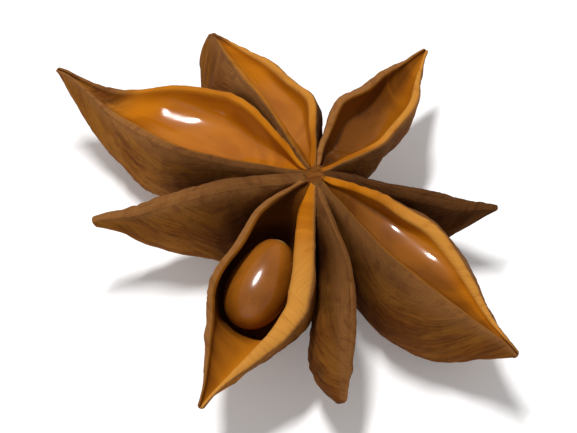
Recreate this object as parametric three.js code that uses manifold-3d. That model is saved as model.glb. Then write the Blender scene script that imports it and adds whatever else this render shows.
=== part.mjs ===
// A dried star anise pod with one glossy seed, lying with its seams up.
// Eight boat-shaped carpels radiate from a short core, pressed against each other at the root.
// A ripe carpel has split along its seam: two walls with rounded rims gape over a polished hollow
// and end in a beak. The others stay shut, with a low ridge along the seam.
// Millimetres, +Z up, the table at z = 0 and the origin under the middle of the pod.
import * as THREE from 'three';
import { mergeVertices } from 'three/addons/utils/BufferGeometryUtils.js';
import Module from 'manifold-3d';

const wasm = await Module();
wasm.setup();

// Driving dimensions
const SEAM_HEIGHT = 8.4; // the seams' meeting point above the table
const CORE_X = 2.03; // the core's place over the table
const CORE_Y = 0.95;
const CORE_TOP = 0.9; // radius of the core where the seams meet
const CORE_SHOULDER = 1.6; // its largest radius
const STALK_RADIUS = 1.3; // radius of the stalk's scar below
const CORE_DEPTH = 6.4; // from the seams down to the scar
const ROOT = 0.5; // where a carpel starts, inside the core
const SHELL = 0.8; // least thickness of a wall
const KEEL_SHELL = 1.1; // floor of the hollow above the keel's outside
const LIP = 0.5; // breadth of a rim by the core
const BEAK_LIP = 0.2; // the same at the end of a beak
const LIP_CROWN = 0.22; // how high a rim's rounded edge rises, beside its breadth
const SLIT = 0.04; // half the width of a seam that only just parts
const SEAM_GROOVE = 0.15; // depth of the groove along a seam that has parted
const SHUT_RIDGE = 0.25; // height of the ridge that a shut seam forms
const RIM_WANDER = 0.2; // waviness of an open rim
const LONG_FOLD = 0.13; // heights of the two sets of folds in the dried skin
const SLANT_FOLD = 0.12;
const PRESSED = 0.12; // how far neighbours run into each other where they touch
const PRESS_REACH = 7.5; // how far from the core neighbours still touch
const CORNER_BLEND = 0.5; // how softly a wall leaves its neighbour
const MIN_HALF_WIDTH = 0.05;
const WALL_INSET = PRESSED + 0.5 * SHELL; // how far a lining lies behind the skin where it's pressed

// Places along a carpel and rates, as shares
const WIDEST = 0.46; // the widest section
const BEAK_START = 0.7;
const BEAK_END = 0.97; // where a slender beak is down to its least width
const ROOT_DEPTH = 0.7; // depth at the core, beside the full depth
const ROOT_BULGE = 0.6; // the same for the bulge
const NARROW_POWER = 1.35; // how late a stout carpel narrows
const GAPE_POWER = 0.6; // how early the rims part, 1 for no earlier than the walls swell
const GAP_PUSH = 0.5; // how strongly a gaping wall pushes its neighbour aside, for each millimetre
const GROOVE_DEEPENS = 0.3; // how much deeper the groove gets, for each millimetre of gape
const END_WIDTH = 0.25; // width of a blunt end beside its height
const PHASE_STEP = 1.9; // makes the waves of each carpel differ

// Mesh fineness
const STATIONS = 20; // cross-sections along a carpel
const WALL_STEPS = 6; // points from the keel up to a rim
const CORE_SIDES = 20;
const SEED_SIDES = 20;
const SEED_RINGS = 12;
const SLIVER = 0.004; // smaller steps are smoothed away where the solids are joined
const TABLE_SIZE = 60;

const DRIED_BROWN = 0x7a4a25;
const SEED_BROWN = 0x9c5e1e;

// One entry for each carpel, anticlockwise from the widest open one. Angles in degrees.
// azimuth: heading of the root. pitch: rise of the beak. roll: turn of the seam towards
// the right, seen from the core. length, depth, bulge: size of the boat. bow: how long the
// keel stays deep before it sweeps up. rims: how far the left and the right rim's outer edge
// lean out from the middle. lips: breadth of those rims. hollow: depth of the hollow between
// them, 0 where the seam is shut. room: how far the hollow swells under them. pocket: where
// the hollow gets to its full depth, where it starts to rise and where it ends, as shares of
// the length. flare: how far it opens like a dish. slender: how early the beak narrows.
// arch: rise of the seam half way. hook: lift of the beak. sway: its sideways bend to the
// left. blunt: height of its end.
const CARPELS = [
  { azimuth: 147, pitch: -15, roll: 0, length: 18.4, depth: 6.3, bow: 3.8, bulge: 2.1,
    rims: [2.3, 3.4], lips: [0.7, 0.5], hollow: 2.2, room: 0.3, pocket: [0.4, 0.4, 0.84],
    flare: 1, slender: 1, arch: 0.7, hook: 2.5, sway: 0.9, blunt: 0.3 },
  { azimuth: 187.5, pitch: -14, roll: 4, length: 13.6, depth: 7.7, bow: 1.1, bulge: 1.5,
    rims: [0.5, 0.5], lips: [0.5, 0.5], hollow: 0, room: 0, pocket: [0.3, 0.6, 0.9],
    flare: 0, slender: 0, arch: 0.7, hook: 0.8, sway: 0.2, blunt: 0.8 },
  { azimuth: 247.5, pitch: -12, roll: -4, length: 15.8, depth: 8.1, bow: 0.8, bulge: 1.8,
    rims: [3.4, 3.1], lips: [1.5, 0.6], hollow: 4.6, room: 1, pocket: [0.25, 0.62, 0.77],
    flare: 0, slender: 0.4, arch: 0.7, hook: 0.3, sway: -1, blunt: 0.6 },
  { azimuth: 279, pitch: -13, roll: -20, length: 14.1, depth: 6.8, bow: 2.2, bulge: 1.3,
    rims: [0.5, 0.5], lips: [0.5, 0.5], hollow: 0, room: 0, pocket: [0.3, 0.6, 0.9],
    flare: 0, slender: 0, arch: 0.4, hook: 0, sway: -1.7, blunt: 1 },
  { azimuth: 325, pitch: -13, roll: 0, length: 16.1, depth: 7.2, bow: 2.5, bulge: 2.9,
    rims: [2.2, 2.1], lips: [0.9, 1], hollow: 1.3, room: 0.3, pocket: [0.3, 0.3, 0.72],
    flare: 1, slender: 1, arch: 0.7, hook: 0.9, sway: -2, blunt: 0.6 },
  { azimuth: 3, pitch: -20, roll: 8, length: 11.6, depth: 7.3, bow: 3, bulge: 1.2,
    rims: [0.5, 0.5], lips: [0.5, 0.5], hollow: 0, room: 0, pocket: [0.3, 0.6, 0.9],
    flare: 0, slender: 0.5, arch: 0.4, hook: 0.8, sway: -0.3, blunt: 0.4 },
  { azimuth: 61, pitch: -16, roll: 4, length: 13.8, depth: 5.2, bow: 1.6, bulge: 1,
    rims: [1.8, 2.5], lips: [0.7, 0.6], hollow: 1.6, room: 0.2, pocket: [0.3, 0.5, 0.9],
    flare: 0.5, slender: 0.2, arch: 0.7, hook: 0.7, sway: -0.5, blunt: 0.5 },
  { azimuth: 109.5, pitch: -13, roll: 4, length: 13.8, depth: 7.3, bow: 4, bulge: 2.4,
    rims: [1.3, 2.1], lips: [1.3, 1.4], hollow: 1.8, room: 0.2, pocket: [0.3, 0.45, 0.7],
    flare: 0.3, slender: 0, arch: 0.7, hook: 0.4, sway: 2.1, blunt: 3.8 },
];

// The seed lies on its flat side in the open carpel that points forwards
const SEED = {
  length: 6.0,
  width: 3.7,
  height: 2.9,
  taper: 0.35, // how much fuller its outer end is
  carpel: 2, // index of its carpel
  along: 0.43, // share of the carpel's length at its middle
  aside: -0.65, // its middle to the left of the carpel's
  below: 1.4, // its middle below the seam
};

const radians = THREE.MathUtils.degToRad;
const clamp01 = (x) => Math.min(1, Math.max(0, x));
const mix = (a, b, t) => a + (b - a) * t;

function smooth(from, to, x) {
  const t = clamp01((x - from) / (to - from));
  return t * t * (3 - 2 * t);
}

// The smaller of two widths, with the corner between them rounded
function softLeast(a, b) {
  const share = clamp01(0.5 + (0.5 * (b - a)) / CORNER_BLEND);
  return mix(b, a, share) - CORNER_BLEND * share * (1 - share);
}

// Profiles along a carpel, as shares of the full size, where s runs from core to beak.
// Falling is late with a power over 1 and early under 1.
const rising = (s) => Math.sin(0.5 * Math.PI * clamp01(s / WIDEST));
function falling(s, power) {
  const t = clamp01((s - WIDEST) / (1 - WIDEST));
  return power >= 1 ? 1 - t ** power : (1 - t) ** (1 / power);
}
const narrowing = (s, slender) =>
  mix(falling(s, NARROW_POWER), 1 - smooth(WIDEST, BEAK_END, s), slender);
const depthShare = (s, bow) => mix(ROOT_DEPTH, 1, rising(s)) * falling(s, bow);
const bulgeShare = (s, bow) => mix(ROOT_BULGE, 1, rising(s)) * falling(s, Math.max(0.4, 0.7 * bow));
const openingShare = (s, slender) => rising(s) ** GAPE_POWER * narrowing(s, slender);

// How deep a hollow is, beside its full depth
function hollowShare(carpel, s) {
  if (carpel.hollow === 0) return 0;
  const [full, rise, end] = carpel.pocket;
  return smooth(0.05, full, s) * (1 - smooth(rise, end, s));
}

// Profiles across a wall, the skin fullest a third of the way up, and across a hollow, from
// upright at the rims to leaning out like a dish
const bellyShare = (rise) => 1.5 * Math.sqrt(3 * rise) * (1 - rise);
const troughShare = (rise, flare) => mix(Math.sqrt(rise * (2 - rise)), Math.sqrt(rise), flare);

// Wavy lengthwise folds of the dried skin, never the same on two walls
function foldHeight(s, up, side, phase) {
  const drift = phase + 1.3 * side;
  const long = Math.sin(17 * s + 3 * up + 2.1 * drift);
  const slant = Math.sin(9 * up - 8 * s + 1.7 * drift + long);
  return LONG_FOLD * long + SLANT_FOLD * slant;
}

// Slow wander of a rim, sideways and upwards
function rimWander(s, side, phase) {
  return RIM_WANDER * Math.sin(13 * s + 2.3 * phase + 2 * side) * smooth(0.1, 0.4, s);
}

const isOpen = (carpel) => carpel.hollow > 0;
const onSide = (pair, side) => (side > 0 ? pair[0] : pair[1]);
const leanOn = (carpel, side) => onSide(carpel.rims, side) - LIP;

// The angle that a carpel takes up on one side, 1 for the left and -1 for the right, of what lies
// between its middle and the next one's: the more open wall pushes the other aside
function sectorAngle(index, side) {
  const carpel = CARPELS[index];
  const other = CARPELS[(index + side + CARPELS.length) % CARPELS.length];
  const between = ((other.azimuth - carpel.azimuth) * side + 360) % 360;
  const push = 1 + GAP_PUSH * leanOn(carpel, side);
  const counterPush = 1 + GAP_PUSH * leanOn(other, -side);
  return (between * push) / (push + counterPush);
}

// One point of a wall in the carpel's own frame, x to the beak, y to the left and z up from the
// seam, and how far it lies behind the outer skin. up is 0 at the keel and 1 at the rim.
// lipShare is 0 on the outer skin, 1 on the lining and in between on the rim's rounded edge.
function wallPoint(index, s, up, side, lipShare) {
  const carpel = CARPELS[index];
  const phase = PHASE_STEP * index;
  const hollow = hollowShare(carpel, s);
  const beak = smooth(BEAK_START, 1, s);
  const opening = openingShare(s, carpel.slender);
  const gap = (onSide(carpel.rims, side) - onSide(carpel.lips, side)) * opening;
  const lip = mix(mix(LIP, onSide(carpel.lips, side), opening), BEAK_LIP, beak);
  const depth = mix(carpel.blunt, carpel.depth, depthShare(s, carpel.bow));
  const bulge = mix(END_WIDTH * carpel.blunt, carpel.bulge, bulgeShare(s, carpel.bow));
  const rise = up ** 1.5;
  const wander = rimWander(s, side, phase) * rise * hollow;
  const seam = carpel.arch * Math.sin(Math.PI * s) + carpel.hook * beak * beak + wander;

  const groove = isOpen(carpel) ? SEAM_GROOVE + GROOVE_DEEPENS * gap : 0;
  const floor = mix(groove, Math.max(Math.min(carpel.hollow, depth - KEEL_SHELL), groove), hollow);
  const room = Math.min(Math.max(bulge - SHELL, 0), carpel.room) * hollow;
  const innerWidth = room * bellyShare(rise) + (gap + SLIT) * troughShare(rise, carpel.flare);
  const innerHeight = seam - floor * (1 - rise);

  const ends = smooth(0, 0.2, s) * (1 - smooth(0.85, 1, s));
  const fold = foldHeight(s, up, side, phase) * ends * (1 - rise ** 4);
  const outerWidth = bulge * bellyShare(rise) + (gap + lip) * rise + fold * Math.sqrt(rise);
  const outerHeight = seam - (depth + fold) * (1 - rise);

  const x = mix(ROOT, carpel.length, s);
  const y = carpel.sway * s * s + side * (mix(outerWidth, innerWidth, lipShare) + wander);
  const crown = isOpen(carpel)
    ? LIP_CROWN * lip * Math.sin(Math.PI * lipShare)
    : SHUT_RIDGE * Math.sin(0.5 * Math.PI * lipShare) * (1 - beak);
  const z = mix(outerHeight, innerHeight, lipShare) + crown * smooth(0, 0.12, s);
  const inset = lipShare * mix(WALL_INSET, Math.max(lip, WALL_INSET), rise);
  return [new THREE.Vector3(x, y, z), inset];
}

// Turns a point of a carpel's own frame into the pod's frame. A carpel keeps to its sector between
// the two neighbours that it's pressed against, and its hollow to the inside of its walls.
function placed(point, index, s, inset) {
  const carpel = CARPELS[index];
  const pivot = -0.5 * carpel.depth;
  point.z -= pivot;
  point.applyAxisAngle(new THREE.Vector3(1, 0, 0), radians(carpel.roll) * smooth(0, 0.4, s));
  point.z += pivot;
  point.applyAxisAngle(new THREE.Vector3(0, 1, 0), -radians(carpel.pitch));
  const side = Math.sign(point.y) || 1;
  const sector = point.x * Math.tan(radians(sectorAngle(index, side)));
  const freed = 0.5 * Math.max(point.x - PRESS_REACH, 0);
  const limit = sector + freed + PRESSED - inset;
  point.y = side * softLeast(Math.abs(point.y), Math.max(limit, MIN_HALF_WIDTH));
  return point
    .applyAxisAngle(new THREE.Vector3(0, 0, 1), radians(carpel.azimuth))
    .add(new THREE.Vector3(CORE_X, CORE_Y, SEAM_HEIGHT));
}

// One carpel: rings that run down the outside of the left wall, up the right one, over its rim,
// back along the hollow, or across the ridge of a shut seam, and over the left rim, joined from
// the core to the beak
function carpelSolid(index) {
  const steps = 2 * WALL_STEPS;
  const innerSteps = isOpen(CARPELS[index]) ? steps : 0;
  const ringSize = steps + innerSteps + 4;
  const positions = [];
  const addPoint = (s, across, lipShare) => {
    const side = Math.sign(across) || 1;
    const [point, inset] = wallPoint(index, s, Math.abs(across), side, lipShare);
    positions.push(...placed(point, index, s, inset).toArray());
  };
  for (let i = 0; i <= STATIONS; i += 1) {
    const s = i / STATIONS;
    // across is 1 at the left rim, 0 at the keel, -1 at the right rim
    for (let j = 0; j <= steps; j += 1) addPoint(s, 1 - j / WALL_STEPS, 0);
    addPoint(s, -1, 0.5);
    for (let j = innerSteps; j >= 0; j -= 1) addPoint(s, innerSteps ? 1 - j / WALL_STEPS : 0, 1);
    addPoint(s, 1, 0.5);
  }
  const faces = [];
  const triangle = (a, b, c) => {
    if (a !== b && b !== c && c !== a) faces.push(a, b, c);
  };
  const quad = (a, b, c, d) => {
    triangle(a, b, c);
    triangle(a, c, d);
  };
  for (let i = 0; i < STATIONS; i += 1) {
    const base = i * ringSize;
    for (let j = 0; j < ringSize; j += 1) {
      const k = (j + 1) % ringSize;
      quad(base + j, base + ringSize + j, base + ringSize + k, base + k);
    }
  }
  for (const [base, turn] of [[0, 1], [STATIONS * ringSize, -1]]) {
    const face = (a, b, c) => (turn > 0 ? triangle(a, b, c) : triangle(a, c, b));
    const outer = (j) => base + j;
    const inner = (j) => base + steps + 2 + (innerSteps ? innerSteps - j : 0);
    for (let j = 0; j < steps; j += 1) {
      face(outer(j), outer(j + 1), inner(j + 1));
      face(outer(j), inner(j + 1), inner(j));
    }
    face(outer(steps), base + steps + 1, inner(steps));
    face(base + ringSize - 1, outer(0), inner(0));
  }
  return new wasm.Manifold(
    new wasm.Mesh({
      numProp: 3,
      vertProperties: new Float32Array(positions),
      triVerts: new Uint32Array(faces),
    }),
  );
}

function solidOf(geometry) {
  geometry.deleteAttribute('normal');
  geometry.deleteAttribute('uv');
  const merged = mergeVertices(geometry, 1e-4);
  return new wasm.Manifold(
    new wasm.Mesh({
      numProp: 3,
      vertProperties: new Float32Array(merged.attributes.position.array),
      triVerts: new Uint32Array(merged.index.array),
    }),
  );
}

function geometryOf(solid) {
  const mesh = solid.getMesh();
  const geometry = new THREE.BufferGeometry();
  geometry.setAttribute('position', new THREE.BufferAttribute(new Float32Array(mesh.vertProperties), 3));
  geometry.setIndex(new THREE.BufferAttribute(new Uint32Array(mesh.triVerts), 1));
  geometry.computeVertexNormals();
  return geometry;
}

// The core that carries the carpels, from the stalk's scar up to where the seams meet
function coreSolid() {
  const profile = [
    [0, -CORE_DEPTH],
    [STALK_RADIUS, -CORE_DEPTH],
    [1.15 * STALK_RADIUS, -0.92 * CORE_DEPTH],
    [CORE_SHOULDER, -0.6 * CORE_DEPTH],
    [CORE_SHOULDER, -0.25 * CORE_DEPTH],
    [CORE_TOP, -0.08 * CORE_DEPTH],
    [0.7 * CORE_TOP, -0.03 * CORE_DEPTH],
    [0, -0.025 * CORE_DEPTH],
  ];
  const lathe = new THREE.LatheGeometry(profile.map(([r, z]) => new THREE.Vector2(r, z)), CORE_SIDES);
  lathe.rotateX(Math.PI / 2);
  lathe.translate(CORE_X, CORE_Y, SEAM_HEIGHT);
  return solidOf(lathe);
}

// A block of air below the table, which flattens the keels where they rest
function tableSolid() {
  const block = new THREE.BoxGeometry(TABLE_SIZE, TABLE_SIZE, TABLE_SIZE);
  block.translate(0, 0, -TABLE_SIZE / 2);
  return solidOf(block);
}

function podMesh() {
  let solid = coreSolid();
  for (let index = 0; index < CARPELS.length; index += 1) {
    solid = solid.add(carpelSolid(index));
  }
  // slivers and loose scraps are dropped
  const [pod] = solid
    .subtract(tableSolid())
    .simplify(SLIVER)
    .decompose()
    .sort((a, b) => b.volume() - a.volume());
  const material = new THREE.MeshStandardMaterial({ color: DRIED_BROWN, roughness: 0.75, metalness: 0 });
  const mesh = new THREE.Mesh(geometryOf(pod), material);
  mesh.name = 'pod';
  return mesh;
}

// A flattened egg with its narrow end towards the core
function seedMesh() {
  const geometry = new THREE.SphereGeometry(0.5, SEED_SIDES, SEED_RINGS);
  geometry.rotateZ(Math.PI / 2);
  const position = geometry.attributes.position;
  for (let i = 0; i < position.count; i += 1) {
    const x = position.getX(i);
    const swell = 1 + SEED.taper * x;
    const y = position.getY(i) * SEED.width * swell;
    const z = position.getZ(i) * SEED.height * swell;
    position.setXYZ(i, x * SEED.length, y, z);
  }
  geometry.computeVertexNormals();
  const material = new THREE.MeshStandardMaterial({ color: SEED_BROWN, roughness: 0.2, metalness: 0 });
  const mesh = new THREE.Mesh(geometry, material);
  const carpel = CARPELS[SEED.carpel];
  const x = mix(ROOT, carpel.length, SEED.along);
  const y = carpel.sway * SEED.along ** 2 + SEED.aside;
  mesh.position.copy(placed(new THREE.Vector3(x, y, -SEED.below), SEED.carpel, SEED.along, WALL_INSET));
  const heading = radians(carpel.azimuth) + Math.atan((2 * carpel.sway * SEED.along) / carpel.length);
  mesh.rotation.set(0, -radians(carpel.pitch), heading, 'ZYX');
  mesh.name = 'seed';
  return mesh;
}

const starAnise = new THREE.Group();
starAnise.add(podMesh());
starAnise.add(seedMesh());

export default starAnise;
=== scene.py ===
import math

import bpy
import numpy as np
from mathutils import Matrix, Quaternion, Vector, kdtree, noise


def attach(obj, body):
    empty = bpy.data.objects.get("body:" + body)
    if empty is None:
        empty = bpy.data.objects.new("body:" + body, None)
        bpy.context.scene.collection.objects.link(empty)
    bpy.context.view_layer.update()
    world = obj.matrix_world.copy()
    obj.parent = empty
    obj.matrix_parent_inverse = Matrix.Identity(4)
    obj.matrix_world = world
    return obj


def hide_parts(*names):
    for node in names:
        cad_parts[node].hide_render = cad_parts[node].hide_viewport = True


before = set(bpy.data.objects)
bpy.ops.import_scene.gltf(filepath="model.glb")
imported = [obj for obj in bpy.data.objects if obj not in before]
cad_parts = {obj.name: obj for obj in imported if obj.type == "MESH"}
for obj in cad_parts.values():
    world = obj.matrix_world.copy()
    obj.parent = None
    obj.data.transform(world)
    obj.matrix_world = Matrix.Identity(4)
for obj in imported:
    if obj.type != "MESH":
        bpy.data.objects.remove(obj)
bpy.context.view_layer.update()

# A dried star anise pod: eight boat-shaped carpels round a short core. Ripe ones gape over a
# polished lining, shut ones are matte and wrinkled, and one holds a glossy seed.
# Sizes are in millimetres, +Z up, with the table at z = 0. Meshes are in metres.

MM = 0.001

# Driving dimensions
SEAM_HEIGHT = 8.4  # the seams' meeting point above the table
CORE_AT = (2.03, 0.95)  # the core's place over the table
CORE_TOP = 0.9  # radius of the core where the seams meet
CORE_SHOULDER = 1.6  # its largest radius
STALK_RADIUS = 1.3  # radius of the stalk's scar below
CORE_DEPTH = 6.4  # from the seams down to the scar
ROOT = 0.5  # where a carpel starts, inside the core
SHELL = 0.8  # least thickness of a wall
KEEL_SHELL = 1.1  # floor of the hollow above the keel's outside
LIP = 0.5  # breadth of a rim by the core
BEAK_LIP = 0.2  # the same at the end of a beak
LIP_CROWN = 0.22  # how high a rim's rounded edge rises, beside its breadth
SLIT = 0.04  # half the width of a seam that only just parts
SEAM_GROOVE = 0.15  # depth of the groove along a seam that has parted
SHUT_RIDGE = 0.25  # height of the ridge that a shut seam forms
RIM_WANDER = 0.2  # waviness of an open rim
LONG_FOLD = 0.13  # heights of the two sets of folds in the dried skin
SLANT_FOLD = 0.12
PRESSED = 0.12  # how far neighbours run into each other where they touch
PRESS_REACH = 7.5  # how far from the core neighbours still touch
PRESS_EASE = 0.5  # how much further a wall may lean out beyond that, for each millimetre
CORNER_BLEND = 1.3  # how softly a wall leaves its neighbour
LEAST_BLEND = 1e-6  # keeps that blend from dividing by zero
MIN_HALF_WIDTH = 0.05
WALL_INSET = PRESSED + 0.5 * SHELL  # how far a lining lies behind the skin where it is pressed
GAPE_POWER = 0.6  # how early the rims part, 1 for no earlier than the walls swell
WIDEST = 0.46  # the widest section, as a share of the length
BEAK_START = 0.7  # where the beak starts, as a share of the length
BEAK_END = 0.97  # where a slender beak is down to its tip's width
NARROW_POWER = 1.35  # how late a carpel that isn't slender narrows
TURN_EASE = 0.07  # share of the length over which the widest section is rounded off
ROOT_DEPTH = 0.7  # a carpel's depth and bulge at its root, beside its full ones
ROOT_BULGE = 0.6
RISE_POWER = 1.5  # how closely a wall's points gather at the keel, where it turns most
DISH_BOWL = 0.25  # share of a dish's floor that is a bowl, the rest is flatter
CROWN_POWER = 0.7  # how full a rim's rounded edge is, 1 for a plain wave
GAP_PUSH = 0.5  # how strongly a gaping wall pushes its neighbour aside, for each millimetre
GROOVE_DEEPENS = 0.3  # how much deeper the groove gets, for each millimetre of gape
END_WIDTH = 0.25  # width of a blunt end beside its height
PHASE_STEP = 1.9  # makes the waves of each carpel differ

# Finer forms
FUSE_REACH = 2.6  # how far from the seams' meeting point neighbours have grown together
END_ROUND = 0.14  # how far the end of a beak is rounded off
WRINKLE = 0.14  # height of the skin's wrinkles
PUCKER = 0.06  # height of the fine puckers between them
DENT = 0.05  # depth of the slow dents in the lining
RIDGE_MEAN = 0.9  # what the noise of the wrinkles comes to on average
CORE_ROUGH = 0.12  # unevenness of the core's sides and of its top
CORE_BUMPS = 0.22
SCAR_RAISED = 0.14  # how far the scar stands out of the seed's narrow end
SEED_KEEL = 0.06  # height of the low keel along one edge of the seed

# Where over a rim's edge the lining starts, 0 at the skin and 1 at the hollow
DULL_RIM = 0.88
POLISHED_RIM = 0.15

# Mesh fineness
STATIONS = 90
WALL_STEPS = 22
LIP_STEPS = 8
END_STEPS = 4
END_TURN = 0.94  # share of a quarter turn that a beak's rounded end takes
FUSE_STEPS = 10
CORE_SIDES = 72
SEED_ROWS = 64
SEED_COLUMNS = 72

# One entry for each carpel, anticlockwise from the widest open one. Angles in degrees.
# azimuth: heading of the root. pitch: rise of the beak. roll: turn of the seam towards
# the right, seen from the core. length, depth, bulge: size of the boat. bow: how long the
# keel stays deep before it sweeps up. rims: how far the left and the right rim's outer edge
# lean out from the middle. lips: breadth of those rims. hollow: depth of the hollow between
# them. room: how far the hollow swells under them. pocket: where the hollow gets to its full
# depth, where it starts to rise and where it ends, as shares of the length. flare: how far it
# opens like a dish. slender: how early the beak narrows. arch: rise of the seam half way.
# hook: lift of the beak. sway: its sideways bend to the left. blunt: height of its end.
# polish: how far the lining's gloss reaches out over each rim. lining_light: how bright the
# lining is painted on the left, at the bottom and on the right, painted light and shade. Left
# and right: pale_and_lit: how pale a polished rim is, partly its own paler edge and partly
# painted light, tone_and_shade: how light the skin is, partly its own tone and partly painted
# shade on walls that face away from the light, shade: how much painted shade darkens it
# towards the core. lined: how far out the lining reaches, as a share of the length.
CARPELS = [
    dict(azimuth=147, pitch=-15, roll=0, length=18.4, depth=6.3, bow=3.8, bulge=2.1,
         rims=(2.3, 3.4), lips=(0.7, 0.5), hollow=2.2, room=0.3, pocket=(0.37, 0.37, 0.77),
         flare=1, slender=1, arch=0.7, hook=2.5, sway=0.9, blunt=0.3, polish=(0.1, 1),
         lining_light=(0.5, 0.9, 0.9), pale_and_lit=(0, 0.15), tone_and_shade=(1, 0.8), shade=(0.6, 0.4), lined=0.84),
    dict(azimuth=187.5, pitch=-14, roll=4, length=13.6, depth=7.7, bow=1.1, bulge=1.5,
         rims=(0.5, 0.5), lips=(0.5, 0.5), hollow=0, room=0, pocket=(0.3, 0.6, 0.9),
         flare=0, slender=0, arch=0.7, hook=0.8, sway=0.2, blunt=0.8, polish=(0, 0),
         lining_light=(0, 0, 0), pale_and_lit=(0, 0), tone_and_shade=(0.85, 0.8), shade=(0.8, 0.9), lined=0),
    dict(azimuth=247.5, pitch=-12, roll=-4, length=15.8, depth=8.1, bow=0.8, bulge=1.8,
         rims=(3.4, 3.1), lips=(1.5, 0.6), hollow=4.6, room=1.0, pocket=(0.25, 0.59, 0.73),
         flare=0, slender=0.4, arch=0.7, hook=0.3, sway=-1.0, blunt=0.6, polish=(1, 0.3),
         lining_light=(0.9, 0.3, 0), pale_and_lit=(1, 0), tone_and_shade=(1, 0.9), shade=(0, 0), lined=1.1),
    dict(azimuth=279, pitch=-13, roll=-20, length=14.1, depth=6.8, bow=2.2, bulge=1.3,
         rims=(0.5, 0.5), lips=(0.5, 0.5), hollow=0, room=0, pocket=(0.3, 0.6, 0.9),
         flare=0, slender=0, arch=0.4, hook=0, sway=-1.7, blunt=1.0, polish=(0, 0),
         lining_light=(0, 0, 0), pale_and_lit=(0, 0), tone_and_shade=(0.8, 0.6), shade=(0.3, 0.9), lined=0),
    dict(azimuth=325, pitch=-13, roll=0, length=16.1, depth=7.2, bow=2.5, bulge=2.9,
         rims=(2.2, 2.1), lips=(0.9, 1.0), hollow=1.3, room=0.3, pocket=(0.3, 0.3, 0.58),
         flare=1, slender=1, arch=0.7, hook=0.9, sway=-2.0, blunt=0.6, polish=(1, 0.1),
         lining_light=(0.9, 0.2, 0.1), pale_and_lit=(0.9, 0), tone_and_shade=(0.8, 0.75), shade=(0.3, 0.4), lined=1),
    dict(azimuth=3, pitch=-20, roll=8, length=11.6, depth=7.3, bow=3, bulge=1.2,
         rims=(0.5, 0.5), lips=(0.5, 0.5), hollow=0, room=0, pocket=(0.3, 0.6, 0.9),
         flare=0, slender=0.5, arch=0.4, hook=0.8, sway=-0.3, blunt=0.4, polish=(0, 0),
         lining_light=(0, 0, 0), pale_and_lit=(0, 0), tone_and_shade=(0.3, 0.3), shade=(0.5, 0.5), lined=0),
    dict(azimuth=61, pitch=-16, roll=4, length=13.8, depth=5.2, bow=1.6, bulge=1.0,
         rims=(1.8, 2.5), lips=(0.7, 0.6), hollow=1.6, room=0.2, pocket=(0.3, 0.5, 0.9),
         flare=0.5, slender=0.2, arch=0.7, hook=0.7, sway=-0.5, blunt=0.5, polish=(0.1, 0.8),
         lining_light=(0, 0, 0.8), pale_and_lit=(0, 0.8), tone_and_shade=(1, 1), shade=(0, 0.3), lined=1.1),
    dict(azimuth=109.5, pitch=-13, roll=4, length=13.8, depth=7.3, bow=4, bulge=2.4,
         rims=(1.3, 2.1), lips=(0.6, 0.6), hollow=1.1, room=0.2, pocket=(0.3, 0.4, 0.85),
         flare=1, slender=0, arch=0.7, hook=0.4, sway=2.1, blunt=3.8, polish=(0.6, 0.9),
         lining_light=(0.4, 0.7, 0.8), pale_and_lit=(0.2, 0.8), tone_and_shade=(0.75, 0.8), shade=(0.4, 0.6), lined=1),
]

# The seed lies on its flat side in the open carpel that points forwards
SEED_LENGTH = 6.0
SEED_WIDTH = 3.7
SEED_HEIGHT = 2.9
SEED_TAPER = 0.35  # how much fuller its outer end is
SEED_CARPEL = 2
SEED_ALONG = 0.43  # share of the carpel's length at its middle
SEED_ASIDE = -0.65  # its middle to the left of the carpel's
SEED_BELOW = 1.4  # its middle below the seam


# ---------------------------------------------------------------- shapes

def mix(a, b, t):
    return a + (b - a) * t


def smooth(start, end, x):
    t = np.clip((x - start) / (end - start), 0, 1)
    return t * t * (3 - 2 * t)


def soft_least(a, b):
    """The smaller of two widths, with the corner between them rounded. The blend is no wider
    than the widths, so that what comes out stays above zero."""
    blend = np.clip(np.minimum(a, b), LEAST_BLEND, CORNER_BLEND)
    share = np.clip(0.5 + 0.5 * (b - a) / blend, 0, 1)
    return mix(b, a, share) - blend * share * (1 - share)


def rising(s):
    return np.sin(0.5 * math.pi * np.clip(s / WIDEST, 0, 1))


def falling(s, power):
    """From 1 at the widest section to 0 at the end, late with a power over 1, early under 1."""
    t = np.clip((s - WIDEST) / (1 - WIDEST), 0, 1)
    return 1 - t**power if power >= 1 else (1 - t) ** (1 / power)


def gape(s, slender):
    """How far the rims have parted, beside their widest, with the turn there rounded off."""
    reach = TURN_EASE * smooth(0.05, 0.3, s) * (1 - smooth(0.8, 1, s))
    parted = []
    for shift in (-1, -0.5, 0, 0.5, 1):
        t = s + shift * reach
        narrowing = mix(falling(t, NARROW_POWER), 1 - smooth(WIDEST, BEAK_END, t), slender)
        parted.append(rising(t) ** GAPE_POWER * narrowing)
    return np.mean(parted, axis=0)


def hollow_share(carpel, s):
    """How deep the hollow is at a share of the length, beside its full depth."""
    if carpel["hollow"] == 0:
        return 0 * s
    full, rise, end = carpel["pocket"]
    return smooth(0.05, full, s) * (1 - smooth(rise, end, s))


def belly(rise):
    """Profile across a wall, fullest a third of the way up."""
    return 1.5 * np.sqrt(3 * rise) * (1 - rise)


def trough(rise, flare):
    """Profile across the hollow, from upright at the rims to leaning out like a dish."""
    return mix(np.sqrt(rise * (2 - rise)), np.sqrt(rise), flare)


def dish(rise):
    """A rounder floor than the trough's own parabola."""
    return mix(rise**3, rise, DISH_BOWL)


def fold_height(s, up, side, phase):
    """Wavy lengthwise folds of the dried skin, never the same on two walls."""
    drift = phase + 1.3 * side
    long = np.sin(17 * s + 3 * up + 2.1 * drift)
    slant = np.sin(9 * up - 8 * s + 1.7 * drift + long)
    return LONG_FOLD * long + SLANT_FOLD * slant


def rim_wander(s, side, phase):
    return RIM_WANDER * np.sin(13 * s + 2.3 * phase + 2 * side) * smooth(0.1, 0.4, s)


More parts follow.
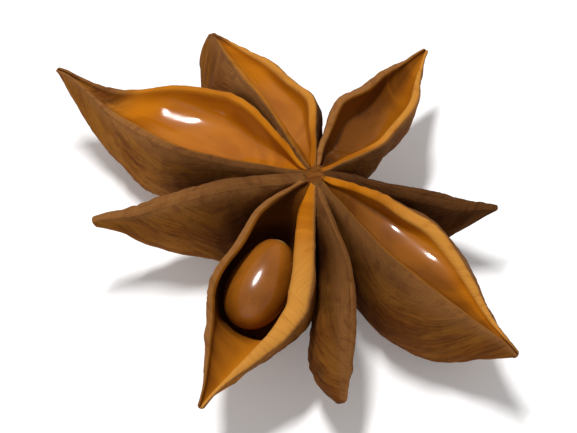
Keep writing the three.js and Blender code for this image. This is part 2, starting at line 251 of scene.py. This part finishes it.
def on_side(pair, side):
    """The left or the right one of two values."""
    return np.where(side > 0, pair[0], pair[1])


def lean_on(carpel, side):
    """How far a rim leans out further than a shut one's."""
    return on_side(carpel["rims"], side) - LIP


def sector_angle(index, side):
    """Degrees that a carpel takes up on one side of what lies between it and its neighbour."""
    carpel = CARPELS[index]
    other = CARPELS[(index + side) % len(CARPELS)]
    between = (other["azimuth"] - carpel["azimuth"]) * side % 360
    push = 1 + GAP_PUSH * lean_on(carpel, side)
    counter_push = 1 + GAP_PUSH * lean_on(other, -side)
    return between * push / (push + counter_push)


def wall_points(index, s, up, side, lip_share):
    """Points in the carpel's own frame, x to the beak, y to the left and z up from the seam,
    and how far each lies behind the outer skin.

    up is 0 at the keel and 1 at the rim. lip_share is 0 on the outer skin, 1 on the lining
    and in between on the rim's rounded edge.
    """
    carpel = CARPELS[index]
    phase = PHASE_STEP * index
    hollow = hollow_share(carpel, s)
    beak = smooth(BEAK_START, 1, s)
    rim_full = on_side(carpel["rims"], side)
    lip_full = on_side(carpel["lips"], side)
    opening = gape(s, carpel["slender"])
    gap = (rim_full - lip_full) * opening
    lip = mix(mix(LIP, lip_full, opening), BEAK_LIP, beak)
    depth_share = mix(ROOT_DEPTH, 1, rising(s)) * falling(s, carpel["bow"])
    bulge_share = mix(ROOT_BULGE, 1, rising(s)) * falling(s, max(0.4, 0.7 * carpel["bow"]))
    depth = mix(carpel["blunt"], carpel["depth"], depth_share)
    bulge = mix(END_WIDTH * carpel["blunt"], carpel["bulge"], bulge_share)
    rise = up**RISE_POWER
    wander = rim_wander(s, side, phase) * rise * hollow
    x = mix(ROOT, carpel["length"] - END_ROUND, s)
    middle = carpel["sway"] * s * s
    seam = carpel["arch"] * np.sin(math.pi * s) + carpel["hook"] * beak * beak + wander

    shut = carpel["hollow"] == 0
    groove = 0 * gap if shut else SEAM_GROOVE + GROOVE_DEEPENS * gap
    floor = mix(groove, np.maximum(np.minimum(carpel["hollow"], depth - KEEL_SHELL), groove), hollow)
    room = np.clip(bulge - SHELL, 0, carpel["room"]) * hollow
    in_width = room * belly(rise) + (gap + SLIT) * trough(rise, carpel["flare"])
    in_height = seam - floor * (1 - mix(rise, dish(rise), carpel["flare"]))

    ends = smooth(0, 0.2, s) * (1 - smooth(0.85, 1, s))
    fold = fold_height(s, up, side, phase) * ends * (1 - rise**4)
    out_width = bulge * belly(rise) + (gap + lip) * rise + fold * np.sqrt(rise)
    out_height = seam - (depth + fold) * (1 - rise)

    inset = lip_share * mix(WALL_INSET, np.maximum(lip, WALL_INSET), rise)
    width = mix(out_width, in_width, lip_share)
    if shut:
        crown = SHUT_RIDGE * np.sin(0.5 * math.pi * lip_share) * (1 - beak)
    else:
        crown = LIP_CROWN * lip * np.clip(np.sin(math.pi * lip_share), 0, 1) ** CROWN_POWER
    height = mix(out_height, in_height, lip_share) + crown * smooth(0, 0.12, s)
    return np.stack([x + 0 * width, middle + side * (width + wander), height], axis=-1), inset


def turned(points, axis, angle):
    """Points turned about a coordinate axis by an angle, or by an angle for each."""
    a, b = [i for i in range(3) if i != axis]
    if axis == 1:
        a, b = b, a
    out = points.copy()
    out[..., a] = points[..., a] * np.cos(angle) - points[..., b] * np.sin(angle)
    out[..., b] = points[..., a] * np.sin(angle) + points[..., b] * np.cos(angle)
    return out


def placed(points, index, s, inset):
    """A carpel's own points in the pod's frame, kept to its sector between the neighbours."""
    carpel = CARPELS[index]
    pivot = np.array([0, 0, -0.5 * carpel["depth"]])
    points = turned(points - pivot, 0, math.radians(carpel["roll"]) * smooth(0, 0.4, s)) + pivot
    points = turned(points, 1, -math.radians(carpel["pitch"]))
    side = np.where(points[..., 1] < 0, -1, 1)
    left, right = (math.tan(math.radians(sector_angle(index, way))) for way in (1, -1))
    sector = points[..., 0] * np.where(side > 0, left, right)
    freed = PRESS_EASE * np.maximum(points[..., 0] - PRESS_REACH, 0)
    limit = sector + freed + PRESSED - inset
    width = soft_least(np.abs(points[..., 1]), np.maximum(limit, MIN_HALF_WIDTH))
    points[..., 1] = side * width
    points = turned(points, 2, math.radians(carpel["azimuth"]))
    return points + np.array([*CORE_AT, SEAM_HEIGHT])


def field(points, function):
    """A noise function's value at each point."""
    flat = points.reshape(-1, 3)
    return np.array([function(Vector(p)) for p in flat]).reshape(points.shape[:-1])


def wrinkles(grain):
    """Relief of the dried skin: long ridges that branch, with fine puckers between them."""
    long_way = grain * np.array([0.30, 0.85, 1])
    ridges = field(long_way, lambda p: noise.ridged_multi_fractal(p, 0.9, 2.1, 3, 1.0, 2.0))
    fine = field(grain * np.array([1.7, 2.6, 1]), noise.noise)
    return WRINKLE * (ridges - RIDGE_MEAN) + PUCKER * fine


def ring_columns():
    """side, up and lip_share of the points round a section, from the left rim's outside
    down to the keel, up to the right rim, over it and back along the lining."""
    across = np.linspace(1, -1, 2 * WALL_STEPS + 1)
    lip = np.arange(1, LIP_STEPS + 1) / (LIP_STEPS + 1)
    side = np.concatenate([across, -np.ones(LIP_STEPS), across[::-1], np.ones(LIP_STEPS)])
    up = np.abs(np.concatenate([across, np.ones(LIP_STEPS), across[::-1], np.ones(LIP_STEPS)]))
    share = np.concatenate([0 * across, lip, 1 + 0 * across, lip[::-1]])
    return np.where(side < 0, -1, 1), up, share


def mesh_object(name, points, faces):
    mesh = bpy.data.meshes.new(name)
    mesh.from_pydata((points * MM).tolist(), [], faces)
    mesh.validate()
    piece = bpy.data.objects.new(name, mesh)
    bpy.context.scene.collection.objects.link(piece)
    return piece


# What the husk's finish reads at each vertex, beside the grain's own coordinates. lining: 1 on
# the lining. height: 0 at the keel, 1 on a rim. relief: the wrinkles. reach: share of the length
# from the core. lining_light, pale_and_lit, shade: as in the table of carpels, where they carry
# painted light and shade. deep: millimetres into the hollow.
NUMBERS = ("lining", "height", "relief", "reach", "lining_light", "deep", "pale_and_lit", "shade")
# the core's skin is darkened by a fixed share with the same tint as the skin's shade
CORE_NUMBERS = {"shade": 0.2, "height": 0.85}
CORE_GRAIN_SHIFT = 40  # gives the core a grain of its own


def carpel_grid(index):
    """Rows of points from the core to the beak's rounded end, and for each its place, the
    grain's coordinates and the numbers that the finish reads."""
    carpel = CARPELS[index]
    side, up, share = ring_columns()
    s = np.linspace(0, 1, STATIONS + 1)[:, None]
    own, inset = wall_points(index, s, up[None, :], side[None, :], share[None, :])
    points = placed(own, index, s, inset)

    # the grain runs along the carpel, and its second coordinate round the section
    steps = np.linalg.norm(np.diff(points, axis=1), axis=2)
    around = np.concatenate([np.zeros((len(points), 1)), np.cumsum(steps, axis=1)], axis=1)
    around -= around[:, WALL_STEPS:WALL_STEPS + 1]
    along = np.broadcast_to(own[..., 0], around.shape)
    grain = np.stack([along, around, np.full(around.shape, 13.7 * index)], axis=-1)

    # relief along the surface's normal, fading at both ends and on the rims
    down_rows = np.gradient(points, axis=0)
    round_ring = np.roll(points, -1, axis=1) - np.roll(points, 1, axis=1)
    normals = np.cross(round_ring, down_rows)
    normals /= np.maximum(np.linalg.norm(normals, axis=2, keepdims=True), 1e-9)
    turns = mix(DULL_RIM, POLISHED_RIM, on_side(carpel["polish"], side))
    lining = smooth(turns - 0.15, turns + 0.1, share)[None, :] + 0 * around
    lining *= 1 - smooth(carpel["lined"] - 0.12, carpel["lined"], s)
    inner = smooth(0.3, 0.9, share)[None, :] + 0 * around
    skin = wrinkles(grain)
    dents = DENT * field(grain * np.array([0.45, 0.7, 1]), noise.noise)
    calm = smooth(0, 0.12, s) * (1 - 0.8 * smooth(0.85, 1, s))
    rim = smooth(0.8, 1, up)[None, :] + 0 * around
    relief = mix(skin * (1 - 0.55 * rim), dents * (1 - 0.6 * rim), inner)
    points = points + normals * (relief * calm)[..., None]

    # the end of the beak is rounded off
    last = points[-1]
    middle = last.mean(axis=0)
    heading = middle - points[-2].mean(axis=0)
    heading /= np.linalg.norm(heading)
    angles = np.linspace(0, 0.5 * math.pi, END_STEPS + 1)[1:] * END_TURN
    reach = END_ROUND * (1 + 0.8 * carpel["blunt"])
    caps = [middle + (last - middle) * math.cos(a) + heading * reach * math.sin(a) for a in angles]
    points = np.concatenate([points, np.stack(caps)])
    points[..., 2] = np.maximum(points[..., 2], 0)

    def carried(values):
        return np.concatenate([values, np.repeat(values[-1:], END_STEPS, axis=0)])

    whole = np.ones_like(around)
    across = np.where(share > 0.5, side * up, side)
    open_up = up if carpel["hollow"] > 0 else np.where(share > 0, 1, up)
    # painted shade: the skin darkens towards the core, where the carpels close in, but not on a shut
    # seam's ridge; each side's tone is partly painted shade on walls that face away from the light
    crevice_shade = 1 - smooth(0.3, 0.7, s)
    if carpel["hollow"] == 0:
        crevice_shade = crevice_shade * (1 - 0.6 * smooth(0.85, 1, open_up))
    light = on_side(carpel["tone_and_shade"], side) * (1 - on_side(carpel["shade"], side) * crevice_shade)
    numbers = {
        "lining": lining,
        "height": open_up * whole,
        "relief": skin,
        "reach": s * whole,
        "lining_light": np.interp(-across, [-0.8, 0, 0.8], carpel["lining_light"]) * whole,
        "deep": hollow_share(carpel, s) * carpel["hollow"] * (1 - up**RISE_POWER) * whole,
        # pale rims, partly painted light, dimmer towards the core
        "pale_and_lit": on_side(carpel["pale_and_lit"], side) * smooth(0.12, 0.45, s) * whole,
        "shade": 1 - light * whole,
    }
    numbers = np.stack([carried(numbers[name]) for name in NUMBERS], axis=-1)
    return points, np.concatenate([points, carried(grain), numbers], axis=-1)


def ring_faces(rows, columns):
    """Quads between neighbouring rings, and the two ends closed from skin to lining."""
    faces = []
    for i in range(rows - 1):
        for j in range(columns):
            k = (j + 1) % columns
            row, after = i * columns, (i + 1) * columns
            faces.append((row + j, after + j, after + k, row + k))
    wall = 2 * WALL_STEPS
    first_inner = wall + 1 + LIP_STEPS  # on the right rim
    for row, outward in ((0, False), (rows - 1, True)):
        base = row * columns
        ends = []
        for j in range(wall):
            inner = first_inner + wall - j
            ends.append((base + j, base + inner, base + inner - 1, base + j + 1))
        right = [base + wall] + [base + j for j in range(wall + 1, first_inner + 1)]
        left = [base + first_inner + wall + j for j in range(LIP_STEPS + 1)] + [base]
        ends += [tuple(right[::-1]), tuple(left[::-1])]
        faces += ends if outward else [tuple(reversed(face)) for face in ends]
    return faces


def core_grid():
    """The core that carries the carpels, from the stalk's scar up to where the seams meet."""
    radius = [0.02, 0.6 * STALK_RADIUS, STALK_RADIUS, 1.15 * STALK_RADIUS, CORE_SHOULDER,
              CORE_SHOULDER, CORE_TOP, 0.7 * CORE_TOP, 0.02]
    height = [-0.96, -0.97, -1.0, -0.92, -0.6, -0.25, -0.08, -0.03, -0.025]
    turn = np.linspace(0, 1, len(radius))
    fine = np.linspace(0, 1, 6 * len(radius))
    r = np.interp(fine, turn, radius)
    z = np.interp(fine, turn, height) * CORE_DEPTH
    angle = np.linspace(0, 2 * math.pi, CORE_SIDES, endpoint=False)
    x = np.outer(r, np.cos(angle))
    y = np.outer(r, np.sin(angle))
    points = np.stack([x, y, z[:, None] + 0 * x], axis=-1)
    rough = field(points * 1.6, noise.noise)
    outward = points * np.array([1, 1, 0])
    outward /= np.maximum(np.linalg.norm(outward, axis=2, keepdims=True), 1e-6)
    points = points + outward * (CORE_ROUGH * rough)[..., None] * np.minimum(r, 1)[:, None, None]
    points[..., 2] += CORE_BUMPS * field(points * 1.9, noise.noise)
    return points + np.array([*CORE_AT, SEAM_HEIGHT])


def core_faces(rows, columns):
    faces = [tuple(range(columns - 1, -1, -1))]
    for i in range(rows - 1):
        for j in range(columns):
            k = (j + 1) % columns
            row, after = i * columns, (i + 1) * columns
            faces.append((row + j, row + k, after + k, after + j))
    faces.append(tuple(range((rows - 1) * columns, rows * columns)))
    return faces


def joined(base, others):
    """The base with the others joined to it as one solid."""
    parts = bpy.data.collections.new("parts")
    bpy.context.scene.collection.children.link(parts)
    for other in others:
        bpy.context.scene.collection.objects.unlink(other)
        parts.objects.link(other)
    boolean = base.modifiers.new("joined", "BOOLEAN")
    boolean.operation = "UNION"
    boolean.solver = "MANIFOLD"
    boolean.operand_type = "COLLECTION"
    boolean.collection = parts
    graph = bpy.context.evaluated_depsgraph_get()
    mesh = bpy.data.meshes.new_from_object(base.evaluated_get(graph))
    mesh.materials.clear()
    base.modifiers.clear()
    base.data = mesh
    for other in others:
        bpy.data.objects.remove(other)
    bpy.data.collections.remove(parts)
    return base


def fused(piece, middle, reach):
    """The piece with its creases smoothed away round a point, as far as the reach."""
    group = piece.vertex_groups.new(name="fused")
    for vertex in piece.data.vertices:
        distance = (vertex.co / MM - Vector(middle)).length
        weight = 1 - smooth(0.5 * reach, reach, distance)
        if weight > 0:
            group.add([vertex.index], float(weight), "REPLACE")
    smoothing = piece.modifiers.new("fused", "SMOOTH")
    smoothing.vertex_group = "fused"
    smoothing.iterations = FUSE_STEPS
    graph = bpy.context.evaluated_depsgraph_get()
    mesh = bpy.data.meshes.new_from_object(piece.evaluated_get(graph))
    piece.modifiers.clear()
    piece.vertex_groups.clear()
    piece.data = mesh


def add_numbers(mesh, name, values):
    layer = mesh.attributes.new(name, "FLOAT", "POINT")
    layer.data.foreach_set("value", np.ascontiguousarray(values, dtype=np.float32))


def add_vectors(mesh, name, values):
    layer = mesh.attributes.new(name, "FLOAT_VECTOR", "POINT")
    layer.data.foreach_set("vector", np.ascontiguousarray(values, dtype=np.float32).ravel())


def pod_piece():
    sources = []
    shells = []
    for index in range(len(CARPELS)):
        points, facts = carpel_grid(index)
        rows, columns = points.shape[:2]
        shells.append(mesh_object(f"carpel_{index}", points.reshape(-1, 3), ring_faces(rows, columns)))
        sources.append(facts.reshape(rows * columns, -1))
    core = core_grid()
    rows, columns = core.shape[:2]
    pod = mesh_object("carpels", core.reshape(-1, 3), core_faces(rows, columns))
    numbers = np.zeros((rows * columns, len(NUMBERS)))
    for name, value in CORE_NUMBERS.items():
        numbers[:, NUMBERS.index(name)] = value
    core = core.reshape(-1, 3)
    sources.append(np.concatenate([core, core + CORE_GRAIN_SHIFT, numbers], axis=-1))
    sources = np.concatenate(sources)
    joined(pod, shells)
    fused(pod, (*CORE_AT, SEAM_HEIGHT), FUSE_REACH)

    # each vertex takes what the finish needs from the nearest point that it came from
    tree = kdtree.KDTree(len(sources))
    for number, point in enumerate(sources[:, :3] * MM):
        tree.insert(point, number)
    tree.balance()
    mesh = pod.data
    nearest = np.array([tree.find(v.co)[1] for v in mesh.vertices])
    found = sources[nearest]
    add_vectors(mesh, "grain", found[:, 3:6])
    for number, name in enumerate(NUMBERS):
        add_numbers(mesh, name, found[:, 6 + number])
    mesh.shade_smooth()
    return pod


def seed_point(x, y, z):
    """A point of the seed's own frame, x to its fuller end, in the pod's frame."""
    carpel = CARPELS[SEED_CARPEL]
    middle = np.array([
        mix(ROOT, carpel["length"], SEED_ALONG),
        carpel["sway"] * SEED_ALONG**2 + SEED_ASIDE,
        -SEED_BELOW,
    ])
    centre = placed(middle[None, :], SEED_CARPEL, np.array([SEED_ALONG]), WALL_INSET)[0]
    drift = math.atan(2 * carpel["sway"] * SEED_ALONG / carpel["length"])
    points = np.stack([x, y, z], axis=-1)
    points = turned(points, 1, -math.radians(carpel["pitch"]))
    points = turned(points, 2, math.radians(carpel["azimuth"]) + drift)
    return points + centre


def closed_ends(grid):
    """A grid's points in one list, with each of its end rows drawn together into one point."""
    return np.concatenate([grid[:1, 0], grid[1:-1].reshape(-1, 3), grid[-1:, 0]])


def seed_piece():
    """A flattened egg with a scar at its narrow end and a low keel along one edge."""
    rows, columns = SEED_ROWS, SEED_COLUMNS
    polar = np.linspace(0, math.pi, rows + 1)[:, None]
    turn = np.linspace(0, 2 * math.pi, columns, endpoint=False)[None, :]
    x = -0.5 * np.cos(polar) + 0 * turn
    swell = 1 + SEED_TAPER * x
    y = 0.5 * np.sin(polar) * np.cos(turn) * SEED_WIDTH * swell
    z = 0.5 * np.sin(polar) * np.sin(turn) * SEED_HEIGHT * swell
    scar = np.exp(-((x + 0.5) / 0.05) ** 2)
    y = y - SEED_KEEL * np.exp(-((turn - math.pi) / 0.16) ** 2) * np.sin(polar)
    x = x * SEED_LENGTH + SCAR_RAISED * scar
    points = closed_ends(seed_point(x, y, z))
    faces = []
    for j in range(columns):
        k = (j + 1) % columns
        faces.append((0, 1 + k, 1 + j))
        faces.append((len(points) - 1, len(points) - 1 - columns + j, len(points) - 1 - columns + k))
        for i in range(rows - 2):
            a, b = 1 + i * columns, 1 + (i + 1) * columns
            faces.append((a + j, a + k, b + k, b + j))
    seed = mesh_object("glossy_seed", points, faces)
    add_vectors(seed.data, "grain", closed_ends(np.stack([x, y, z], axis=-1)))
    seed.data.shade_smooth()
    return seed


# ---------------------------------------------------------------- finishes

class Value:
    """A socket of a finish that takes part in arithmetic: an expression adds its Math nodes."""

    def __init__(self, finish, socket):
        self.finish = finish
        self.socket = socket

    def math(self, operation, *terms):
        return self.finish.node("ShaderNodeMath", {"operation": operation}, dict(enumerate(terms)))

    def __add__(self, other):
        return self.math("ADD", self, other)

    def __radd__(self, other):
        return self.math("ADD", other, self)

    def __sub__(self, other):
        return self.math("SUBTRACT", self, other)

    def __rsub__(self, other):
        return self.math("SUBTRACT", other, self)

    def __mul__(self, other):
        return self.math("MULTIPLY", self, other)

    def __rmul__(self, other):
        return self.math("MULTIPLY", other, self)


class Finish:
    """A material with one shader. node() adds any node and gives one of its outputs."""

    def __init__(self, name):
        self.material = bpy.data.materials.new(name)
        self.material.use_nodes = True
        self.nodes = self.material.node_tree.nodes
        self.shader = self.nodes["Principled BSDF"]

    def node(self, kind, settings=None, sockets=None, output=0):
        node = self.nodes.new(kind)
        for name, value in (settings or {}).items():
            setattr(node, name, value)
        for key, value in (sockets or {}).items():
            self.feed(node.inputs[key], value)
        return Value(self, node.outputs[output])

    def feed(self, socket, value):
        if isinstance(value, Value):
            self.material.node_tree.links.new(value.socket, socket)
        else:
            socket.default_value = value

    def set(self, **sockets):
        """Feeds the shader's sockets, named in lower case with underscores."""
        for name, value in sockets.items():
            title = name.replace("_", " ").title().replace("Ior", "IOR")
            self.feed(self.shader.inputs[title], value)

    def number(self, name):
        return self.node("ShaderNodeAttribute", {"attribute_name": name}, output="Fac")

    def vector(self, name):
        return self.node("ShaderNodeAttribute", {"attribute_name": name}, output="Vector")

    def stretched(self, vector, scale):
        return self.node("ShaderNodeVectorMath", {"operation": "MULTIPLY"}, {0: vector, 1: scale})

    def noise(self, vector, scale, detail=3, roughness=0.5):
        sockets = {"Vector": vector, "Scale": scale, "Detail": detail, "Roughness": roughness}
        return self.node("ShaderNodeTexNoise", None, sockets)

    def between(self, value, start, end):
        """0 where the value is at start, 1 at end, smooth in between."""
        sockets = {"Value": value, "From Min": start, "From Max": end}
        return self.node("ShaderNodeMapRange", {"interpolation_type": "SMOOTHSTEP"}, sockets)

    def blend(self, share, a, b):
        return self.node("ShaderNodeMix", {"data_type": "RGBA"}, {0: share, 6: a, 7: b}, output=2)

    def tint(self, share, a, b):
        """Colour a multiplied by b."""
        settings = {"data_type": "RGBA", "blend_type": "MULTIPLY"}
        return self.node("ShaderNodeMix", settings, {0: share, 6: a, 7: b}, output=2)

    def bumps(self, height, distance, normal=None):
        """Relief of that height in millimetres, where the field runs from 0 to 1."""
        sockets = {"Height": height, "Distance": distance * MM, "Strength": 1.0}
        if normal is not None:
            sockets["Normal"] = normal
        return self.node("ShaderNodeBump", None, sockets)


def colour(red, green, blue):
    """A colour given as 0 to 255, as the linear numbers that shaders take."""
    def linear(c):
        c = c / 255
        return c / 12.92 if c <= 0.04045 else ((c + 0.055) / 1.055) ** 2.4
    return (linear(red), linear(green), linear(blue), 1)


SHADOW = colour(84, 60, 40)  # what the skin is multiplied by where it is darkest, by its own tone and by painted shade


def husk_finish():
    """Matte wrinkled skin outside, pale rims and a polished lining, with painted light and shade on
    skin, rims and lining.
    """
    finish = Finish("dried_husk")
    grain = finish.vector("grain")
    lining = finish.number("lining")
    height = finish.number("height")
    relief = finish.number("relief")
    reach = finish.number("reach")
    lining_light = finish.number("lining_light")
    deep = finish.number("deep")
    pale_and_lit = finish.number("pale_and_lit")
    shade = finish.number("shade")

    blotches = finish.noise(finish.stretched(grain, (0.5, 0.8, 1)), 0.5, detail=4, roughness=0.6)
    grit = finish.noise(grain, 4.5, detail=5, roughness=0.65)
    fibres = finish.noise(finish.stretched(grain, (0.35, 4.5, 1)), 1.5, detail=4, roughness=0.6)
    clouds = finish.noise(finish.stretched(grain, (0.25, 0.5, 1)), 1.0, detail=2)
    mottle = finish.noise(finish.stretched(grain, (0.7, 1, 1)), 1.3, detail=3, roughness=0.6)

    blotched = finish.between(blotches, 0.38, 0.62)
    skin = finish.blend(blotched, colour(122, 68, 22), colour(158, 100, 34))
    mottled = finish.between(mottle, 0.5, 0.68)
    skin = finish.blend(mottled * 0.5, skin, colour(104, 52, 26))
    # lighter towards the ridges and rims: partly the skin's own paler colour there, partly painted
    # light on the tops
    skin = finish.blend(finish.between(height, 0.75, 1.0) * 0.35, skin, colour(146, 98, 50))
    skin = finish.blend(finish.between(fibres, 0.45, 0.7) * 0.4, skin, colour(176, 112, 44))
    skin = finish.blend(finish.between(fibres, 0.5, 0.3) * 0.45, skin, colour(80, 42, 12))
    # painted shade in the troughs between the wrinkles
    skin = finish.blend(finish.between(relief, 0.0, -0.10) * 0.4, skin, colour(64, 32, 10))
    skin = finish.blend(finish.between(grit, 0.55, 0.75) * 0.35, skin, colour(70, 38, 12))
    # the skin darkened by its own tone and by painted shade towards the core
    skin = finish.tint(shade, skin, SHADOW)

    # the lining is painted in a lit and a shaded colour, each wandering at random, mixed by how lit
    # each part is painted
    cloudy = finish.between(clouds, 0.35, 0.65)
    lit_lining = finish.blend(cloudy, colour(178, 100, 6), colour(196, 116, 14))
    shaded_lining = finish.blend(finish.between(clouds, 0.4, 0.6), colour(100, 54, 8), colour(124, 70, 12))
    inside = finish.blend(lining_light, shaded_lining, lit_lining)
    # painted shade deep in the hollows, away from the parts painted lit
    deep_shade = finish.between(deep, 0.5, 3.5) * (1 - lining_light)
    inside = finish.blend(deep_shade * 0.9, inside, colour(70, 36, 8))
    inside = finish.blend(finish.between(fibres, 0.5, 0.75) * 0.3, inside, colour(150, 80, 8))
    near_core = finish.between(reach, 0.3, 0.05)
    # painted shade in the lining near the core, away from the parts painted lit
    inside = finish.blend(near_core * 0.8 * (1 - lining_light), inside, colour(62, 30, 8))

    rim = finish.between(height, 0.9, 1.0)
    body = finish.blend(lining, skin, inside)
    dull_edge = finish.blend(grit, colour(128, 82, 44), colour(168, 114, 62))
    spotted = finish.between(mottle, 0.5, 0.65)
    dull_edge = finish.blend(spotted * 0.5, dull_edge, colour(110, 62, 34))
    # the pale rim's colour, partly its own paler edge and partly painted light
    pale_and_lit_edge = finish.blend(fibres, colour(186, 118, 38), colour(216, 154, 72))
    pale_and_lit_edge = finish.blend(mottled * 0.4, pale_and_lit_edge, colour(156, 90, 26))
    # dull rims take the skin's painted shade; polished rims take the pale colour, partly painted light
    edge = finish.blend(lining, finish.tint(shade, dull_edge, SHADOW), pale_and_lit_edge)
    body = finish.blend(rim * (0.75 + (pale_and_lit - 0.75) * lining), body, edge)

    towards_beak = finish.between(reach, 0.55, 0.7)
    gloss = lining * (1 - near_core) * (1 - rim) * (1 - towards_beak)
    gloss = gloss * (0.3 + 0.7 * finish.between(lining_light, 0.1, 0.4))
    roughness = 0.85 - 0.5 * gloss + 0.12 * (fibres - 0.5)
    bumped = finish.bumps(grit * (1 - lining), 0.05)
    bumped = finish.bumps(fibres * lining, 0.012, bumped)
    finish.set(base_color=body, roughness=roughness, coat_weight=gloss, coat_roughness=0.12,
               specular_ior_level=0.06, normal=bumped)
    return finish.material


# Where along the seed, in millimetres from its middle, the pale scar starts and is at its palest
SCAR_EDGE = -2.62
SCAR_MIDDLE = -2.85


def seed_finish():
    """Smooth polished brown with darker clouds and a pale scar."""
    finish = Finish("polished_seed")
    grain = finish.vector("grain")
    clouds = finish.noise(finish.stretched(grain, (0.4, 0.8, 0.8)), 0.8, detail=3)
    specks = finish.noise(grain, 5.0, detail=3, roughness=0.6)
    body = finish.blend(finish.between(clouds, 0.35, 0.68), colour(158, 92, 24), colour(130, 72, 14))
    body = finish.blend(finish.between(specks, 0.55, 0.8) * 0.4, body, colour(104, 54, 12))
    along = finish.node("ShaderNodeSeparateXYZ", None, {0: grain}, output="X")
    scar = finish.between(along, SCAR_EDGE, SCAR_MIDDLE)
    body = finish.blend(scar, body, colour(206, 170, 120))
    finish.set(base_color=body, roughness=0.3 + 0.4 * scar, coat_weight=0.9 - 0.9 * scar,
               coat_roughness=0.16, specular_ior_level=0.06)
    return finish.material


pod = pod_piece()
pod.data.materials.append(husk_finish())
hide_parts("pod")
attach(pod, "root")

seed = seed_piece()
seed.data.materials.append(seed_finish())
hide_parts("seed")
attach(seed, "root")


# ---------------------------------------------------------------- stage

FLOOR_HALF = 0.6  # half the floor's side, in metres
FLOOR_WHITE = 0.97
FLOOR_GLOW = 0.15  # takes the edge off the shadows

VIEW_ELEVATION = 58
VIEW_DISTANCE = 150
VIEW_LENS = 157
AIM = (0.52, -1.18, 7.00)  # the point that the middle of the picture shows

# Lights aim at the pod's middle. The key is an oval across the widest carpels, which makes
# their highlights round.
LIT_POINT = (0, 0, 5)
KEY = dict(place=(-60, 90, 420), size=(130, 44), turn=23, power=1.5)
FILL = dict(place=(-150, -420, 300), size=(420, 420), turn=0, power=0.09)
SKY_STRENGTH = 0.3


def floor_piece():
    mesh = bpy.data.meshes.new("floor")
    near, far = -FLOOR_HALF, FLOOR_HALF
    corners = [(near, near, 0), (far, near, 0), (far, far, 0), (near, far, 0)]
    mesh.from_pydata(corners, [], [(0, 1, 2, 3)])
    floor = bpy.data.objects.new("floor", mesh)
    bpy.context.scene.collection.objects.link(floor)
    material = bpy.data.materials.new("pale_floor")
    material.use_nodes = True
    shader = material.node_tree.nodes["Principled BSDF"]
    shader.inputs["Base Color"].default_value = (FLOOR_WHITE, FLOOR_WHITE, FLOOR_WHITE, 1)
    shader.inputs["Roughness"].default_value = 0.9
    shader.inputs["Emission Color"].default_value = (1, 1, 1, 1)
    shader.inputs["Emission Strength"].default_value = FLOOR_GLOW
    mesh.materials.append(material)
    return floor


def add_camera():
    data = bpy.data.cameras.new("camera")
    camera = bpy.data.objects.new("camera", data)
    bpy.context.scene.collection.objects.link(camera)
    tilt = math.radians(VIEW_ELEVATION)
    back = Vector((0, -math.cos(tilt), math.sin(tilt)))
    camera.location = (Vector(AIM) + back * VIEW_DISTANCE) * MM
    camera.rotation_euler = (math.radians(90 - VIEW_ELEVATION), 0, 0)
    data.lens = VIEW_LENS
    data.sensor_width = 36
    data.clip_start = 0.005
    data.clip_end = 5
    bpy.context.scene.camera = camera


def add_light(name, place, size, turn, power):
    """An oval area light over the pod. size is its width and depth, turn spins it in degrees."""
    data = bpy.data.lights.new(name, "AREA")
    data.shape = "ELLIPSE"
    data.size, data.size_y = (length * MM for length in size)
    data.energy = power
    light = bpy.data.objects.new(name, data)
    bpy.context.scene.collection.objects.link(light)
    light.location = Vector(place) * MM
    facing = (Vector(LIT_POINT) - Vector(place)).to_track_quat("-Z", "Y")
    light.rotation_euler = (facing @ Quaternion((0, 0, 1), math.radians(turn))).to_euler()


def add_sky():
    world = bpy.data.worlds.new("world")
    world.use_nodes = True
    background = world.node_tree.nodes["Background"]
    background.inputs["Color"].default_value = (1, 1, 1, 1)
    background.inputs["Strength"].default_value = SKY_STRENGTH
    bpy.context.scene.world = world


floor_piece()
add_camera()
add_light("key", **KEY)
add_light("fill", **FILL)
add_sky()
bpy.context.scene.view_settings.view_transform = "Standard"
